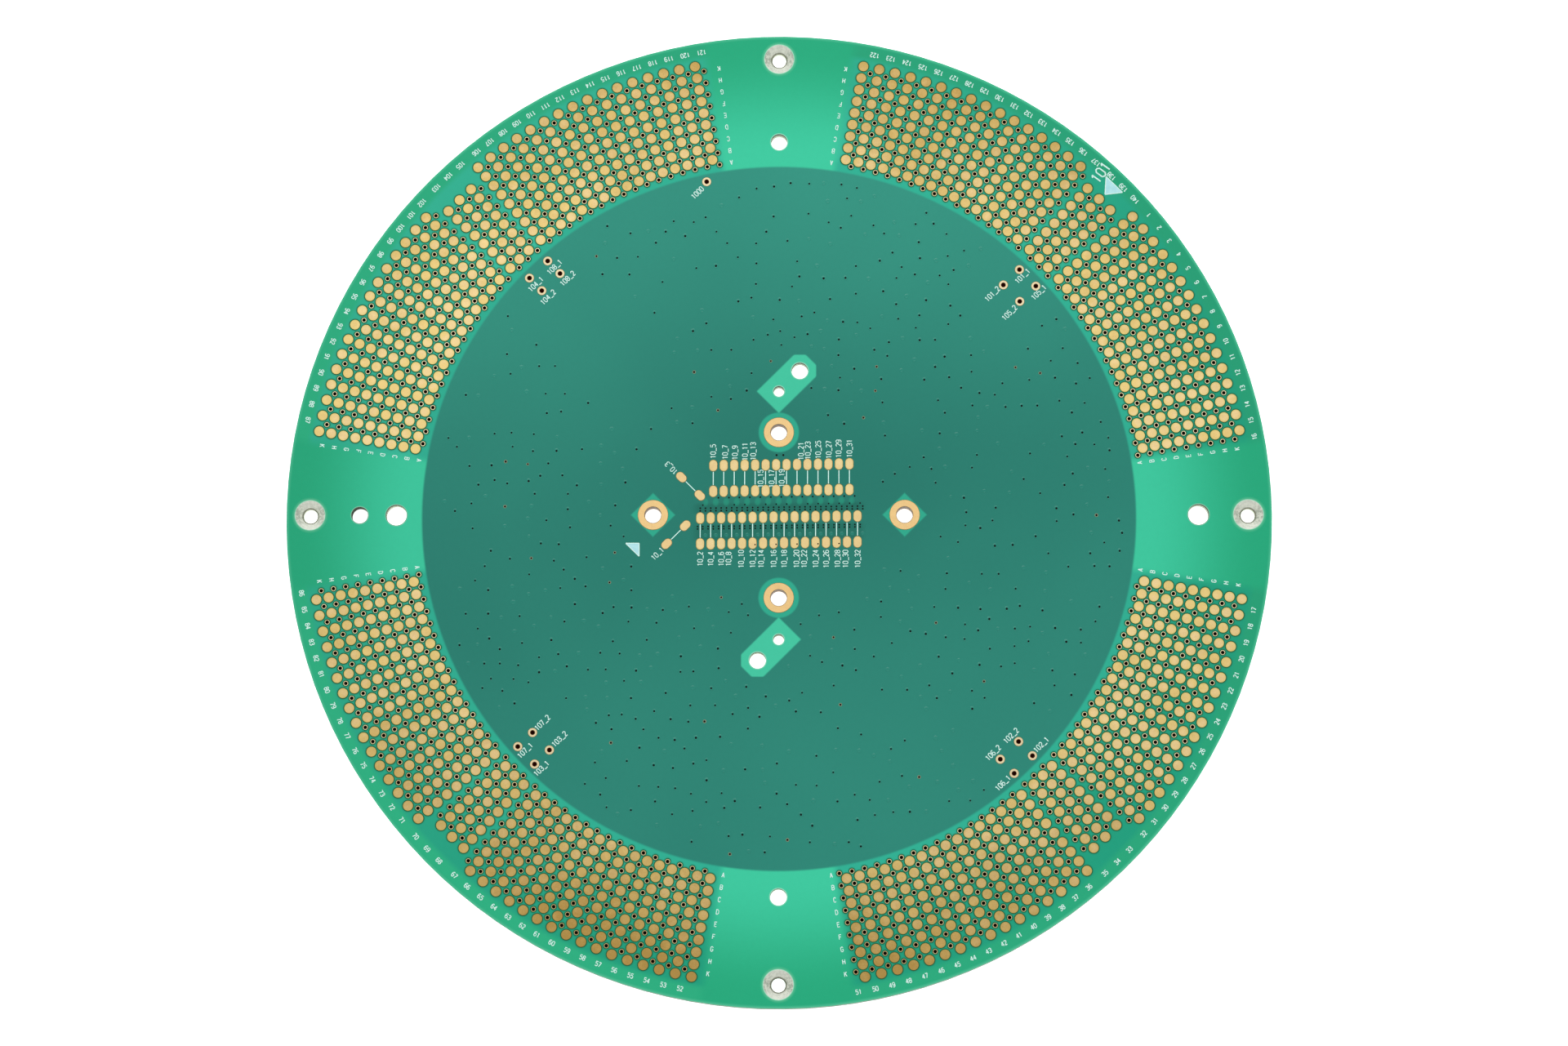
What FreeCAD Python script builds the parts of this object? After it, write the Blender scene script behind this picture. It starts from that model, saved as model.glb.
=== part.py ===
import FreeCAD, Part
import os
import Sketcher
from FreeCAD import Placement, Rotation, Vector

# Round probe interface board: a drilled glass-epoxy disc that carries four polar fields of
# gold contact pads, a block of link pads, four plated mounting rings and seventeen plated
# test points. The origin is on the axis at the back face, +Z is up through the front face.

doc = FreeCAD.newDocument("ProbeInterfaceBoard")
sheet = doc.addObject("Spreadsheet::Sheet", "Sizes")

# Driving sizes in millimetres and degrees
SIZES = {
    # Disc and copper
    "board_diameter": "238.76",
    "board_thickness": "3.18",
    "land_height": "0.07",
    "plating_wall": "0.1",
    # Countersunk mounting holes, on the circle of the outermost pad row
    "mount_hole": "3.4",
    "mount_count": "4",
    "countersink_diameter": "7.2",
    "countersink_angle": "90",
    # Plain holes in the windows between the pad fields, each set in from the rim
    "tooling_hole": "4.0",
    "tooling_inset": "26.67",
    "locating_hole": "5.0",
    "locating_inset_left": "26.67",
    "locating_inset_right": "17.78",
    "keying_hole": "4.0",
    "keying_inset": "17.78",
    # Polar contact field, the same in each quarter of the board about its diagonal
    "first_diagonal": "45",
    "pad_diameter": "2.4",
    "outer_row_inset": "5.715",
    "row_pitch": "2.987",
    "outer_block_rows": "9",
    "middle_block_rows": "8",
    "column_angle": "2.0",
    "outer_block_columns": "16",
    "middle_block_columns": "3",
    "block_angle": "4.5",
    # Plated mounting rings about the centre
    "ring_bore": "4.0",
    "ring_land": "7.2",
    "ring_offset_x": "30.48",
    "ring_offset_y": "20.32",
    # Pin and screw holes in the two slanted windows
    "pin_hole": "2.6",
    "pin_offset": "30.48",
    "screw_hole": "4.0",
    "screw_offset_x": "5.08",
    "screw_offset_y": "35.56",
    # Plated test points
    "test_bore": "1.2",
    "test_land": "2.12",
    "test_turn": "1.0",
    "single_inset": "5.12",
    "single_angle": "102.1",
    # Link pads
    "link_pad_width": "1.85",
    "link_pad_length": "2.7",
    "link_pitch": "2.54",
    "link_pair_pitch": "6.33",
    "link_row_slope": "0.72",
    "upper_link_columns": "14",
    "upper_link_x": "0.61",
    "upper_link_y": "9.17",
    "lower_link_columns": "16",
    "lower_link_x": "0.02",
    "lower_link_y": "-3.72",
    "slant_turn": "45",
    "slant_high_x": "-21.4",
    "slant_high_y": "7.05",
    "slant_low_x": "-24.9",
    "slant_low_y": "-4.86",
}

# Groups of four test points, one on each diagonal: how far the centre lies inside the
# innermost pad row, the pitch along the radius and the pitch across it
TEST_GROUPS = {
    "upper_right": {"inset": "8.17", "radial": "5.49", "across": "5.71"},
    "upper_left": {"inset": "7.38", "radial": "4.37", "across": "6.14"},
    "lower_left": {"inset": "7.87", "radial": "4.91", "across": "5.89"},
    "lower_right": {"inset": "7.53", "radial": "4.76", "across": "6.14"},
}
for group, values in TEST_GROUPS.items():
    for name, value in values.items():
        SIZES[f"{group}_{name}"] = value

# Places and lengths that follow from the driving sizes
SIZES.update({
    "front_level": "=board_thickness",
    "overall_height": "=board_thickness + land_height",
    "outer_row_radius": "=board_diameter / 2 - outer_row_inset",
    "inner_row_radius": "=outer_row_radius - (outer_block_rows - 1) * row_pitch",
    "tooling_radius": "=board_diameter / 2 - tooling_inset",
    "locating_left": "=board_diameter / 2 - locating_inset_left",
    "locating_right": "=board_diameter / 2 - locating_inset_right",
    "keying_radius": "=board_diameter / 2 - keying_inset",
    "ring_barrel": "=ring_bore + 2 * plating_wall",
    "test_barrel": "=test_bore + 2 * plating_wall",
    "single_radius": "=inner_row_radius - single_inset",
    "middle_start": "=-(middle_block_columns - 1) * column_angle / 2",
    "leading_start": "=block_angle",
    "trailing_start": "=-block_angle - (outer_block_columns - 1) * column_angle",
    "link_half_straight": "=(link_pad_length - link_pad_width) / 2",
    "slant_first": "=-link_pair_pitch / 2",
    "slant_turn_back": "=-slant_turn",
})
for block in ("upper_link", "lower_link"):
    reach = f"({block}_columns - 1) * link_pitch / 2"
    SIZES[f"{block}_first_x"] = f"={block}_x - {reach}"
    SIZES[f"{block}_first_y"] = f"={block}_y - link_pair_pitch / 2 - {reach} * tan(link_row_slope)"
for quarter_turns, group in enumerate(TEST_GROUPS):
    SIZES[f"{group}_diagonal"] = f"=first_diagonal + {quarter_turns} * 90"
    SIZES[f"{group}_turn"] = f"={group}_diagonal - test_turn"
    SIZES[f"{group}_first"] = f"=inner_row_radius - {group}_inset - {group}_radial / 2"
    SIZES[f"{group}_side"] = f"={group}_across / 2"

for line, (name, value) in enumerate(SIZES.items(), start=1):
    sheet.set(f"A{line}", name)
    sheet.set(f"B{line}", value)
    sheet.setAlias(f"B{line}", name)
doc.recompute()


# Helpers that draw and tie to the sheet
def bind(target, path, name, sign=""):
    target.setExpression(path, f"{sign}Sizes.{name}")


def size(name, sign=""):
    return float(sheet.get(name)) * (-1 if sign else 1)


def new_body(label):
    body = doc.addObject("PartDesign::Body", label)
    body.Label = label
    body.AllowCompound = True
    return body


def origin_of(body, role):
    return next(item for item in body.Origin.OriginFeatures if item.Role == role)


def new_sketch(body, label, plane="XY_Plane", turn=None, **shifts):
    """A sketch on an origin plane, moved by x, y and z names and turned by one."""
    sketch = body.newObject("Sketcher::SketchObject", label)
    sketch.AttachmentSupport = [(origin_of(body, plane), "")]
    sketch.MapMode = "FlatFace"
    sketch.AttachmentOffset = Placement(Vector(0, 0, 0), Rotation(Vector(0, 0, 1), 0))
    for axis, name in shifts.items():
        bind(sketch, f"AttachmentOffset.Base.{axis}", name)
    if turn:
        bind(sketch, "AttachmentOffset.Rotation.Angle", turn)
    return sketch


def constrain(sketch, kind, *where, name=None, sign=""):
    """A constraint, with its value tied to a named size where it has one."""
    if name is None:
        return sketch.addConstraint(Sketcher.Constraint(kind, *where))
    index = sketch.addConstraint(Sketcher.Constraint(kind, *where, size(name, sign)))
    bind(sketch, f"Constraints[{index}]", name, sign)
    return index


def pin(sketch, curve, point, x=None, y=None, x_sign="", y_sign=""):
    """Hold a point at named distances from the sketch's origin, or on an axis."""
    if x:
        constrain(sketch, "DistanceX", -1, 1, curve, point, name=x, sign=x_sign)
    else:
        constrain(sketch, "PointOnObject", curve, point, -2)
    if y:
        constrain(sketch, "DistanceY", -1, 1, curve, point, name=y, sign=y_sign)
    else:
        constrain(sketch, "PointOnObject", curve, point, -1)


def add_circle(sketch, diameter, x=None, y=None, x_sign="", y_sign=""):
    centre = Vector(size(x, x_sign) if x else 0, size(y, y_sign) if y else 0, 0)
    circle = Part.Circle(centre, Vector(0, 0, 1), size(diameter) / 2)
    index = sketch.addGeometry(circle, False)
    constrain(sketch, "Diameter", index, name=diameter)
    pin(sketch, index, 3, x, y, x_sign, y_sign)
    return index


def add_slot(sketch):
    """The outline of one link pad, long along the sketch's Y, centred on its origin."""
    radius = size("link_pad_width") / 2
    half = size("link_half_straight")
    up = Vector(0, 0, 1)
    top = Part.ArcOfCircle(Part.Circle(Vector(0, half, 0), up, radius), 0, 3.14159265)
    left = Part.LineSegment(Vector(-radius, half, 0), Vector(-radius, -half, 0))
    low = Part.ArcOfCircle(Part.Circle(Vector(0, -half, 0), up, radius), 3.14159265, 6.2831853)
    right = Part.LineSegment(Vector(radius, -half, 0), Vector(radius, half, 0))
    top, left, low, right = sketch.addGeometry([top, left, low, right], False)
    for first, first_end, second, second_end in (
        (top, 2, left, 1),
        (left, 2, low, 1),
        (low, 2, right, 1),
        (right, 2, top, 1),
    ):
        constrain(sketch, "Tangent", first, first_end, second, second_end)
    constrain(sketch, "Vertical", left)
    pin(sketch, top, 3, None, "link_half_straight")
    pin(sketch, low, 3, None, "link_half_straight", y_sign="-")
    constrain(sketch, "DistanceX", left, 1, right, 2, name="link_pad_width")


def pad_up(body, sketch, height, label):
    pad = body.newObject("PartDesign::Pad", label)
    pad.Profile = sketch
    bind(pad, "Length", height)
    return pad


def cut_through(body, sketch, label):
    pocket = body.newObject("PartDesign::Pocket", label)
    pocket.Profile = sketch
    pocket.Type = "ThroughAll"
    return pocket


def pattern(body, feature, label, steps):
    """Repeat a feature by one or more steps: kind, direction, count and pitch."""
    field = body.newObject("PartDesign::MultiTransform", label)
    field.Originals = [feature]
    parts = []
    for number, (kind, direction, count, pitch) in enumerate(steps, start=1):
        step = body.newObject(f"PartDesign::{kind}Pattern", f"{label}Step{number}")
        if kind == "Polar":
            step.Axis = direction
        else:
            step.Direction = direction
        step.Mode = "Spacing"
        bind(step, "Offset", pitch)
        if isinstance(count, str):
            bind(step, "Occurrences", count)
        else:
            step.Occurrences = count
        parts.append(step)
    field.Transformations = parts
    body.Tip = field
    return field


def axis_of(body, role):
    return (origin_of(body, role), [""])


# Laminate: one glass-epoxy disc
laminate = new_body("laminate")
outline = new_sketch(laminate, "BoardOutline")
add_circle(outline, "board_diameter")
pad_up(laminate, outline, "board_thickness", "Disc")
doc.recompute()

# Four countersunk mounting holes on the axes, drilled from the front
mount_centre = new_sketch(laminate, "MountCentre", z="front_level")
add_circle(mount_centre, "mount_hole", x="outer_row_radius")
doc.recompute()
mount = laminate.newObject("PartDesign::Hole", "MountHole")
mount.Profile = mount_centre
doc.recompute()
mount.DepthType = "ThroughAll"
bind(mount, "Diameter", "mount_hole")
mount.HoleCutType = "Countersink"
bind(mount, "HoleCutDiameter", "countersink_diameter")
bind(mount, "HoleCutCountersinkAngle", "countersink_angle")
doc.recompute()
mounts = laminate.newObject("PartDesign::PolarPattern", "MountHoles")
mounts.Originals = [mount]
mounts.Axis = axis_of(laminate, "Z_Axis")
mounts.Angle = 360
bind(mounts, "Occurrences", "mount_count")
laminate.Tip = mounts
doc.recompute()

# Plain holes: tooling holes above and below, locating holes left and right, a keying hole
# outside the left one, and the pin and screw holes of the two slanted windows
plain = new_sketch(laminate, "PlainHoles", z="front_level")
add_circle(plain, "tooling_hole", y="tooling_radius")
add_circle(plain, "tooling_hole", y="tooling_radius", y_sign="-")
add_circle(plain, "locating_hole", x="locating_left", x_sign="-")
add_circle(plain, "locating_hole", x="locating_right")
add_circle(plain, "keying_hole", x="keying_radius", x_sign="-")
add_circle(plain, "pin_hole", y="pin_offset")
add_circle(plain, "pin_hole", y="pin_offset", y_sign="-")
add_circle(plain, "screw_hole", x="screw_offset_x", y="screw_offset_y")
add_circle(plain, "screw_hole", "screw_offset_x", "screw_offset_y", "-", "-")
cut_through(laminate, plain, "PlainHoleCut")

# Seats of the plated barrels: each is a hole right through, and at the back a shallow recess
# that takes the land, which lies level with the solder mask there
for part, across, level in (
    ("Hole", "barrel", "front_level"),
    ("Recess", "land", "land_height"),
):
    seats = new_sketch(laminate, f"Ring{part}s", z=level)
    add_circle(seats, f"ring_{across}", x="ring_offset_x")
    add_circle(seats, f"ring_{across}", x="ring_offset_x", x_sign="-")
    add_circle(seats, f"ring_{across}", y="ring_offset_y")
    add_circle(seats, f"ring_{across}", y="ring_offset_y", y_sign="-")
    cut_through(laminate, seats, f"Ring{part}Cut")
    single_seat = new_sketch(laminate, f"Single{part}", z=level, turn="single_angle")
    add_circle(single_seat, f"test_{across}", x="single_radius")
    cut_through(laminate, single_seat, f"Single{part}Cut")
    for group in TEST_GROUPS:
        title = group.title().replace("_", "") + part
        seat = new_sketch(laminate, title, z=level, turn=f"{group}_turn")
        add_circle(seat, f"test_{across}", x=f"{group}_first", y=f"{group}_side", y_sign="-")
        cut = cut_through(laminate, seat, f"{title}Cut")
        doc.recompute()
        pattern(laminate, cut, f"{title}s", [
            ("Linear", (seat, ["H_Axis"]), 2, f"{group}_radial"),
            ("Linear", (seat, ["V_Axis"]), 2, f"{group}_across"),
        ])
        doc.recompute()


# Contact pads: one round pad repeated along the radius and round the axis, in three blocks
# for each quarter of the board
def contact_block(label, columns, rows, start, quarter):
    body = new_body(label)
    circle = new_sketch(body, f"{label}_outline", z="front_level")
    add_circle(circle, "pad_diameter", x="inner_row_radius")
    pad = pad_up(body, circle, "land_height", f"{label}_first")
    doc.recompute()
    pattern(body, pad, f"{label}_field", [
        ("Linear", axis_of(body, "X_Axis"), rows, "row_pitch"),
        ("Polar", axis_of(body, "Z_Axis"), columns, "column_angle"),
    ])
    body.Placement = Placement(Vector(0, 0, 0), Rotation(Vector(0, 0, 1), 1))
    body.setExpression("Placement.Rotation.Angle", f"Sizes.{start} + Sizes.{quarter}_diagonal")
    return body


for quarter, trailing, middle, leading in (
    ("upper_right", "contact_pads_1_16", "contact_pads_138_140", "contact_pads_122_137"),
    ("upper_left", "contact_pads_106_121", "contact_pads_103_105", "contact_pads_87_102"),
    ("lower_left", "contact_pads_71_86", "contact_pads_68_70", "contact_pads_52_67"),
    ("lower_right", "contact_pads_36_51", "contact_pads_33_35", "contact_pads_17_32"),
):
    side = ("outer_block_columns", "outer_block_rows")
    contact_block(trailing, *side, "trailing_start", quarter)
    contact_block(middle, "middle_block_columns", "middle_block_rows", "middle_start", quarter)
    contact_block(leading, *side, "leading_start", quarter)


# Link pads: rows of facing pairs near the centre, which rise slightly to the right, and two
# single pairs that lie at 45 degrees
def link_block(label, block, columns):
    body = new_body(label)
    outline = new_sketch(body, f"{label}_outline", z="front_level",
                         x=f"{block}_first_x", y=f"{block}_first_y")
    add_slot(outline)
    reach = Vector(size("link_pitch"), size("link_pitch") / 50, 0)
    line = outline.addGeometry(Part.LineSegment(Vector(0, 0, 0), reach), True)
    constrain(outline, "Coincident", line, 1, -1, 1)
    constrain(outline, "DistanceX", line, 1, line, 2, name="link_pitch")
    slope = outline.addConstraint(Sketcher.Constraint("Angle", line, reach.getAngle(Vector(1, 0, 0))))
    outline.setExpression(f"Constraints[{slope}]", "Sizes.link_row_slope * 1 deg")
    pad = pad_up(body, outline, "land_height", f"{label}_first")
    doc.recompute()
    return pattern(body, pad, f"{label}_field", [
        ("Linear", (outline, ["Axis0"]), columns, "link_pitch"),
        ("Linear", axis_of(body, "Y_Axis"), 2, "link_pair_pitch"),
    ])


def slant_pair(label, x, y, turn):
    body = new_body(label)
    outline = new_sketch(body, f"{label}_outline", z="front_level", y="slant_first")
    add_slot(outline)
    pad = pad_up(body, outline, "land_height", f"{label}_first")
    doc.recompute()
    pattern(body, pad, f"{label}_field", [
        ("Linear", axis_of(body, "Y_Axis"), 2, "link_pair_pitch"),
    ])
    body.Placement = Placement(Vector(0, 0, 0), Rotation(Vector(0, 0, 1), 1))
    bind(body, "Placement.Base.x", x)
    bind(body, "Placement.Base.y", y)
    bind(body, "Placement.Rotation.Angle", turn)


link_block("link_pads_upper", "upper_link", "upper_link_columns")
link_block("link_pads_lower", "lower_link", "lower_link_columns")
slant_pair("link_pads_slant_high", "slant_high_x", "slant_high_y", "slant_turn")
slant_pair("link_pads_slant_low", "slant_low_x", "slant_low_y", "slant_turn_back")


# Plated barrels: a thin tube through the laminate with a flat land on each face
def plated_barrel(body, label, bore, barrel, land, x=None, back=None):
    """Revolve the wall section about an upright axis at x, that far back along Y."""
    shifts = {}
    if x:
        shifts["x"] = x
    if back:
        shifts["z"] = back
    section = new_sketch(body, f"{label}_section", plane="XZ_Plane", **shifts)
    inner = size(bore) / 2
    wall = size(barrel) / 2
    outer = size(land) / 2
    low = size("land_height")
    high = size("front_level")
    top = size("overall_height")
    corners = [
        (inner, 0), (outer, 0), (outer, low), (wall, low),
        (wall, high), (outer, high), (outer, top), (inner, top),
    ]
    places = [
        (bore, None), (land, None), (land, "land_height"), (barrel, "land_height"),
        (barrel, "front_level"), (land, "front_level"), (land, "overall_height"),
        (bore, "overall_height"),
    ]
    count = len(corners)
    for number, (x_now, y_now) in enumerate(corners):
        x_next, y_next = corners[(number + 1) % count]
        section.addGeometry(Part.LineSegment(Vector(x_now, y_now, 0), Vector(x_next, y_next, 0)))
    for number in range(count):
        constrain(section, "Coincident", number, 2, (number + 1) % count, 1)
    for number, (across, up) in enumerate(places):
        index = section.addConstraint(
            Sketcher.Constraint("DistanceX", -1, 1, number, 1, size(across) / 2))
        section.setExpression(f"Constraints[{index}]", f"Sizes.{across} / 2")
        if up:
            constrain(section, "DistanceY", -1, 1, number, 1, name=up)
        else:
            constrain(section, "PointOnObject", number, 1, -1)
    turned = body.newObject("PartDesign::Revolution", f"{label}_barrel")
    turned.Profile = section
    turned.ReferenceAxis = (section, ["V_Axis"])
    turned.Angle = 360
    body.Tip = turned
    doc.recompute()
    return turned


for label, axis, sign in (
    ("mounting_ring_right", "x", ""),
    ("mounting_ring_left", "x", "-"),
    ("mounting_ring_upper", "y", ""),
    ("mounting_ring_lower", "y", "-"),
):
    ring = new_body(label)
    plated_barrel(ring, label, "ring_bore", "ring_barrel", "ring_land")
    bind(ring, f"Placement.Base.{axis}", f"ring_offset_{axis}", sign)

for group in TEST_GROUPS:
    label = f"test_points_{group}"
    points = new_body(label)
    first = plated_barrel(points, label, "test_bore", "test_barrel", "test_land",
                          x=f"{group}_first", back=f"{group}_side")
    pattern(points, first, f"{label}_field", [
        ("Linear", axis_of(points, "X_Axis"), 2, f"{group}_radial"),
        ("Linear", axis_of(points, "Y_Axis"), 2, f"{group}_across"),
    ])
    points.Placement = Placement(Vector(0, 0, 0), Rotation(Vector(0, 0, 1), 1))
    bind(points, "Placement.Rotation.Angle", f"{group}_turn")

single = new_body("test_point_single")
plated_barrel(single, "test_point_single", "test_bore", "test_barrel", "test_land",
              x="single_radius")
single.Placement = Placement(Vector(0, 0, 0), Rotation(Vector(0, 0, 1), 1))
bind(single, "Placement.Rotation.Angle", "single_angle")

doc.recompute()

# Check every object, then write one file for each sub-part
for item in doc.Objects:
    if "Invalid" in item.State or "Error" in item.State:
        raise RuntimeError(f"{item.Label} did not build: {item.State}")
bodies = [item for item in doc.Objects if item.TypeId == "PartDesign::Body"]
for body in bodies:
    if body.Shape.isNull() or not body.Shape.isValid():
        raise RuntimeError(f"{body.Label} has no sound shape")

os.makedirs("parts", exist_ok=True)
for body in bodies:
    body.Shape.exportStep(f"parts/{body.Label}.step")
    print(body.Label, len(body.Shape.Solids), "solids", round(body.Shape.Volume, 2), "mm3")
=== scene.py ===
import math
import random

import bmesh
import bpy
from mathutils import Euler, Matrix, Vector


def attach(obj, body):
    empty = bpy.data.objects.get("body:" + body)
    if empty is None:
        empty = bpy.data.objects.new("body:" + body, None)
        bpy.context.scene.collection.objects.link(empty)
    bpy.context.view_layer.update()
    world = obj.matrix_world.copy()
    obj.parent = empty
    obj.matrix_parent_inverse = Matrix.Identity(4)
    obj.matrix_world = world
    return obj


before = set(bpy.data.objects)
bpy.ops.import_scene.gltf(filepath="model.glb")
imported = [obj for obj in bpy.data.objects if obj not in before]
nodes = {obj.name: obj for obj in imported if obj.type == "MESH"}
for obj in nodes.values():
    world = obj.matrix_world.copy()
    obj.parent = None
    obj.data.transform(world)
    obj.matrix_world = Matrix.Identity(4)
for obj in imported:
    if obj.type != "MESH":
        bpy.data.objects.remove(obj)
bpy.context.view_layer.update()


# ---------------------------------------------------------------- Laminate and solder mask
# The board is one glass-epoxy disc, drilled and countersunk, with copper planes inside it. A
# green solder mask is cured over both faces. It looks dark over copper and bright where the
# glass shows through, in the windows; the drilled and routed edges are bare glass-epoxy.
MM = 0.001
FRONT = 3.18
BOARD_RADIUS = 119.38
PLANE_RADIUS = 86.5
# Drilled holes: how far out they stand and their radii
MOUNT_REACH, MOUNT_HOLE, SINK_RADIUS = 113.665, 1.7, 3.6
LOCATING_RIGHT, LOCATING_LEFT, LOCATING_HOLE = 101.6, 92.71, 2.5
KEYING_REACH, KEYING_HOLE = 101.6, 2.0
TOOLING_REACH, TOOLING_HOLE = 92.71, 2.0
PIN_REACH, PIN_HOLE = 30.48, 1.3
SCREW_ACROSS, SCREW_ALONG, SCREW_HOLE = 5.08, 35.56, 2.0
RING_ACROSS, RING_ALONG = 30.48, 20.32
# The two blocks of link pads: their pitch and the slope of their rows
LINK_PITCH = 2.54
ROW_SLOPE = math.tan(math.radians(0.72))
MASK_SETTINGS = {"Roughness": 0.3, "IOR": 1.5, "Specular IOR Level": 0.25}
MASK_GLOSS = 0.019


def paint(red, green, blue):
    """A colour given as screen values from 0 to 255, as the linear colour that a socket takes."""
    linear = []
    for value in (red, green, blue):
        value /= 255
        linear.append(value / 12.92 if value <= 0.04045 else ((value + 0.055) / 1.055) ** 2.4)
    return (*linear, 1.0)


def mask_paint(red, green, blue):
    """The mask's own colour: the tone it shows, less the soft gloss that lies over it."""
    return (*(max(value - MASK_GLOSS, 0.003) for value in paint(red, green, blue)[:3]), 1.0)


class Wire:
    """A socket in a finish's node tree. Sums and products of wires add the Math nodes."""

    def __init__(self, tree, socket):
        self.tree, self.socket = tree, socket

    def node(self, kind, settings, values, out=0):
        """Adds one node: its settings first, then the values or wires of its sockets."""
        made = self.tree.nodes.new(kind)
        for name, value in settings.items():
            setattr(made, name, value)
        for name, value in values.items():
            if isinstance(value, Wire):
                self.tree.links.new(value.socket, made.inputs[name])
            else:
                made.inputs[name].default_value = value
        return Wire(self.tree, made.outputs[out])

    def math(self, operation, *terms):
        return self.node("ShaderNodeMath", {"operation": operation}, dict(enumerate(terms)))

    def __add__(self, other):
        return self.math("ADD", self, other)

    def __sub__(self, other):
        return self.math("SUBTRACT", self, other)

    def __rsub__(self, other):
        return self.math("SUBTRACT", other, self)

    def __mul__(self, other):
        return self.math("MULTIPLY", self, other)

    def __truediv__(self, other):
        return self.math("DIVIDE", self, other)

    def __pow__(self, other):
        return self.math("POWER", self, other)

    def __abs__(self):
        return self.math("ABSOLUTE", self)

    def __gt__(self, other):
        return self.math("GREATER_THAN", self, other)

    def __lt__(self, other):
        return self.math("LESS_THAN", self, other)

    __radd__ = __add__
    __rmul__ = __mul__

    def axis(self, name):
        return self.node("ShaderNodeSeparateXYZ", {}, {0: self}, name)

    def rise(self, low, high):
        """0 below low, 1 above high, and a smooth slope between them."""
        return self.node(
            "ShaderNodeMapRange", {"interpolation_type": "SMOOTHSTEP"},
            {"Value": self, "From Min": low, "From Max": high})

    def band(self, low, high, soft):
        return self.rise(low - soft, low + soft) * (1 - self.rise(high - soft, high + soft))

    def noise(self, scale, detail=2.0, roughness=0.5):
        return self.node(
            "ShaderNodeTexNoise", {},
            {"Vector": self, "Scale": scale, "Detail": detail, "Roughness": roughness}, "Fac")

    def blend(self, below, above):
        """The colour below where this wire is 0, and the colour above where it is 1."""
        return self.node(
            "ShaderNodeMix", {"data_type": "RGBA"}, {0: self, 6: below, 7: above}, 2)

    def bump(self, strength, distance):
        return self.node(
            "ShaderNodeBump", {},
            {"Strength": strength, "Distance": distance, "Height": self}, "Normal")


def new_finish(name, settings):
    """A material with its fixed values set: the material, its shader and its place wire."""
    material = bpy.data.materials.new(name)
    material.use_nodes = True
    tree = material.node_tree
    shader = tree.nodes["Principled BSDF"]
    for socket, value in settings.items():
        shader.inputs[socket].default_value = value
    source = tree.nodes.new("ShaderNodeTexCoord")
    return material, shader, Wire(tree, source.outputs["Object"])


def feed(shader, socket, wire):
    wire.tree.links.new(wire.socket, shader.inputs[socket])


def finish_node(name, material):
    """Gives a CAD node its finish; the node keeps its shape and its place."""
    mesh = nodes[name].data
    mesh.materials.clear()
    mesh.materials.append(material)


def least(wire, *others):
    for other in others:
        wire = wire.math("MINIMUM", wire, other)
    return wire


def greatest(wire, other):
    return wire.math("MAXIMUM", wire, other)


def flat_place(place):
    """Where a point lies on the board, in millimetres."""
    return place.axis("X") * 1000, place.axis("Y") * 1000


def distance(x, y, centre_x, centre_y):
    across = x - centre_x
    along = y - centre_y
    return (across * across + along * along) ** 0.5


def turn_in_quarter(x, y):
    """A point's angle from the diagonal of its quarter, from -45 to 45 degrees."""
    return x.math("MODULO", x.math("ARCTAN2", y, x) * math.degrees(1) + 360, 90) - 45


# The contact field, in millimetres and degrees: rows along the radius, sixteen columns of nine
# on each side of every diagonal, and three columns of eight between them
INNER_ROW = 89.769
ROW_PITCH = 2.987
COLUMN_ANGLE = 2.0
FIRST_COLUMN = 4.5
SIDE_COLUMNS, SIDE_ROWS, MIDDLE_ROWS = 16, 9, 8
PAD_RADIUS = 1.2
VIA_RADIUS, VIA_BORE_BEHIND = 0.6, 0.28
VIA_SHIFT = ROW_PITCH / 2


def to_nearest_pad(radius, turn):
    """How far a point lies from the nearest pad centre, from its radius and its angle."""
    side = abs(turn)
    outer = side > FIRST_COLUMN - COLUMN_ANGLE / 2 - 0.25
    outer_step = side.math("ROUND", (side - FIRST_COLUMN) / COLUMN_ANGLE)
    outer_column = least(greatest(outer_step, 0), SIDE_COLUMNS - 1)
    middle_column = least(side.math("ROUND", side / COLUMN_ANGLE), 1)
    middle_angle = middle_column * COLUMN_ANGLE
    outer_angle = outer_column * COLUMN_ANGLE + FIRST_COLUMN
    column = middle_angle + outer * (outer_angle - middle_angle)
    step = side.math("ROUND", (radius - INNER_ROW) / ROW_PITCH)
    last_row = outer * (SIDE_ROWS - MIDDLE_ROWS) + (MIDDLE_ROWS - 1)
    row = least(greatest(step, 0), last_row)
    along = radius - row * ROW_PITCH - INNER_ROW
    across = (side - column) * radius * math.radians(1)
    return (along * along + across * across) ** 0.5


def mask_over_plane(place):
    """The mask's colour over a copper plane, made a little brighter towards the top by painted
    light.
    """
    x, y = flat_place(place)
    tone = y.rise(0, 88) * 0.5 + ((x * x + y * y) ** 0.5).rise(5, 65) * 0.2
    tone = tone + place.noise(9, 3).rise(0.3, 0.7) * 0.3
    return tone.blend(mask_paint(46, 121, 108), mask_paint(59, 149, 130))


mask, mask_shader, place = new_finish("solder_mask", MASK_SETTINGS)
x, y = flat_place(place)
z = place.axis("Z") * 1000
facing = Wire(place.tree, place.socket.node.outputs["Normal"]).axis("Z")
radius = (x * x + y * y) ** 0.5
quarter = turn_in_quarter(x, y)
on_back = facing < -0.5
# How far a point lies outside the gold; the back has the ends of the vias but no pads
pad_edge = to_nearest_pad(radius, quarter) - PAD_RADIUS + on_back * 9
via_edge = to_nearest_pad(radius + VIA_SHIFT, quarter + COLUMN_ANGLE / 2) - VIA_RADIUS
gold_edge = least(pad_edge, via_edge)
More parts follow.
